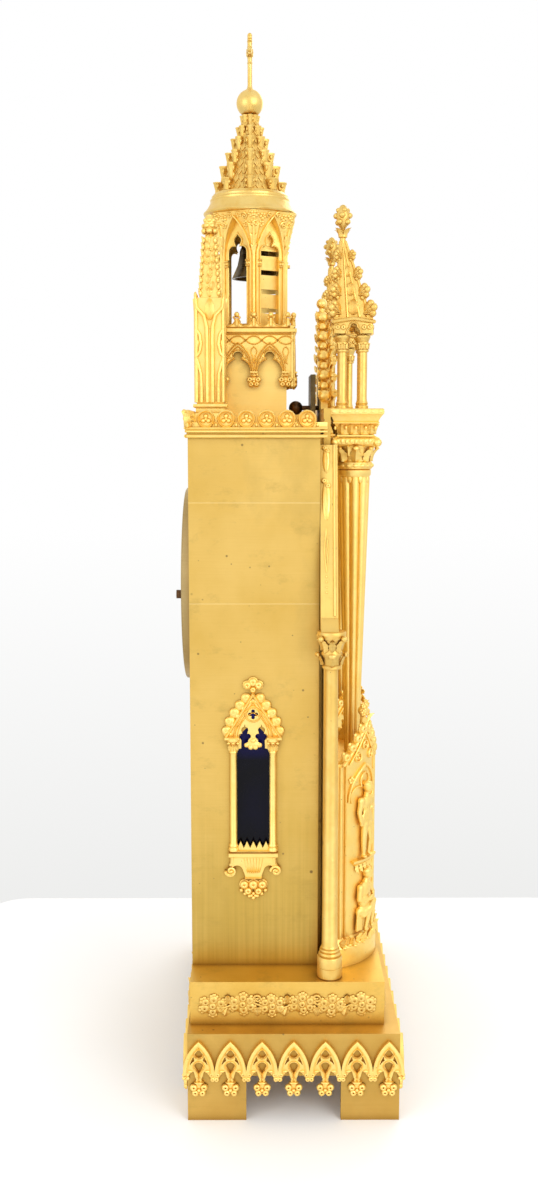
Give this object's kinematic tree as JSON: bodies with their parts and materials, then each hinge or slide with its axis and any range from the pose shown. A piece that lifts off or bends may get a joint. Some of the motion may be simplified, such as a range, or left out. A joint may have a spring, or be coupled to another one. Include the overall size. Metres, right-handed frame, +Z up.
{
  "type": "steeple clock",
  "caption": "Gilt bronze Gothic cathedral clock: arcaded plinth, windowed case, columned facade with dial, bell lantern, crocketed steeple, opening rear door and a spring movement",
  "frame": {"origin": "middle of the footprint, on the ground under the four feet", "axes": "+X to the right seen from the front, -Y to the front with the dial, +Z up along the steeple"},
  "size_m": [0.2572, 0.1342, 0.6398],
  "materials": {
    "gilt_bronze": "cast and gilded, semi gloss",
    "satin_brass": "satin brushed",
    "dark_bronze": "dark patina",
    "steel": "polished",
    "blue_glass": "deep cobalt",
    "silvered_dial": "silvered"
  },
  "bodies": {
    "case": {"arcade_hood": "gilt_bronze", "bell": "dark_bronze", "bell_post": "steel", "bracket_bolt": "dark_bronze", "case_back": "satin_brass", "case_front": "satin_brass", "case_side_left": "satin_brass", "case_side_right": "satin_brass", "clustered_columns": "gilt_bronze", "column_entablatures": "gilt_bronze", "corner_colonnettes": "gilt_bronze", "dial": "silvered_dial", "dial_bezel": "gilt_bronze", "dial_gable": "gilt_bronze", "door_ring": "satin_brass", "facade_plate": "satin_brass", "finial_ball": "gilt_bronze", "finial_cross": "gilt_bronze", "gable_bracket": "dark_bronze", "hammer_stand": "steel", "hinge_pin": "steel", "lantern": "gilt_bronze", "lantern_louvres": "gilt_bronze", "movement_pillars": "satin_brass", "movement_plates": "satin_brass", "movement_straps": "satin_brass", "pinnacles": "gilt_bronze", "plinth": "satin_brass", "plinth_valances": "gilt_bronze", "portal_doors": "gilt_bronze", "portal_frame": "gilt_bronze", "raking_copings": "gilt_bronze", "rear_piers": "gilt_bronze", "relief_bay_left": "gilt_bronze", "relief_bay_right": "gilt_bronze", "roof_gallery": "gilt_bronze", "roof_plate": "satin_brass", "side_windows": "gilt_bronze", "spire": "gilt_bronze", "spire_cornice": "gilt_bronze", "tower_base": "satin_brass", "upper_step": "satin_brass", "vine_friezes": "gilt_bronze", "window_glasses": "blue_glass"},
    "minute_hand": {"centre_arbor": "satin_brass", "minute_hand": "steel"},
    "hour_hand": {"hour_hand": "gilt_bronze"},
    "minute_wheel": {"minute_wheel": "satin_brass"},
    "going_barrel": {"going_barrel": "satin_brass"},
    "third_wheel": {"third_wheel": "satin_brass"},
    "escape_wheel": {"escape_wheel": "satin_brass"},
    "strike_barrel": {"strike_barrel": "satin_brass"},
    "pin_wheel": {"pin_wheel": "satin_brass"},
    "pendulum": {"pendulum_rod": "steel", "pendulum_bob": "satin_brass"},
    "anchor": {"anchor": "steel"},
    "hammer": {"bell_hammer": "steel"},
    "hammer_rod": {"hammer_rod": "steel"},
    "rear_door": {"rear_door": "satin_brass", "door_knob": "dark_bronze"}
  },
  "joints": [
    {"name": "barrel_turn", "type": "hinge", "parent": "case", "child": "going_barrel", "pos_m": [-0.01918, 0, 0.29146], "axis": [0, 1, 0], "continuous": true},
    {"name": "minute_turn", "type": "hinge", "parent": "case", "child": "minute_hand", "pos_m": [0, 0, 0.3], "axis": [0, 1, 0], "continuous": true},
    {"name": "hour_turn", "type": "hinge", "parent": "case", "child": "hour_hand", "pos_m": [0, 0, 0.3], "axis": [0, 1, 0], "continuous": true},
    {"name": "minute_wheel_turn", "type": "hinge", "parent": "case", "child": "minute_wheel", "pos_m": [-0.00688, 0, 0.29017], "axis": [0, 1, 0], "continuous": true},
    {"name": "third_turn", "type": "hinge", "parent": "case", "child": "third_wheel", "pos_m": [0.01065, 0, 0.30969], "axis": [0, 1, 0], "continuous": true},
    {"name": "escape_turn", "type": "hinge", "parent": "case", "child": "escape_wheel", "pos_m": [0, 0, 0.315], "axis": [0, 1, 0], "continuous": true},
    {"name": "strike_turn", "type": "hinge", "parent": "case", "child": "strike_barrel", "pos_m": [0.01918, 0, 0.29146], "axis": [0, 1, 0], "continuous": true},
    {"name": "pin_wheel_turn", "type": "hinge", "parent": "case", "child": "pin_wheel", "pos_m": [0.00434, 0, 0.27661], "axis": [0, 1, 0], "continuous": true},
    {"name": "pendulum_swing", "type": "hinge", "parent": "case", "child": "pendulum", "pos_m": [0, 0.0305, 0.328], "axis": [0, 1, 0], "range_deg": [-4, 4]},
    {"name": "anchor_rock", "type": "hinge", "parent": "case", "child": "anchor", "pos_m": [0, 0.003, 0.328], "axis": [0, 1, 0], "range_deg": [-4, 4]},
    {"name": "hammer_swing", "type": "hinge", "parent": "case", "child": "hammer", "pos_m": [0.0062, 0.0203, 0.4702], "axis": [0, 1, 0], "range_deg": [-5, 1]},
    {"name": "hammer_pull", "type": "slide", "parent": "case", "child": "hammer_rod", "axis": [0, 0, -1], "range_m": [-0.0008, 0.0004]},
    {"name": "door_swing", "type": "hinge", "parent": "case", "child": "rear_door", "pos_m": [0.0645, 0.0608, 0.3], "axis": [0, 0, -1], "range_deg": [0, 110]}
  ],
  "couplings": [
    {"joint": "hour_turn", "follows": "minute_turn", "ratio": 0.083333},
    {"joint": "minute_wheel_turn", "follows": "minute_turn", "ratio": -0.33333},
    {"joint": "barrel_turn", "follows": "minute_turn", "ratio": -0.16667},
    {"joint": "third_turn", "follows": "minute_turn", "ratio": -8},
    {"joint": "escape_turn", "follows": "minute_turn", "ratio": 60},
    {"joint": "pin_wheel_turn", "follows": "strike_turn", "ratio": -6},
    {"joint": "anchor_rock", "follows": "pendulum_swing", "ratio": 1},
    {"joint": "hammer_pull", "follows": "hammer_swing", "m_per_rad": 0.008}
  ]
}
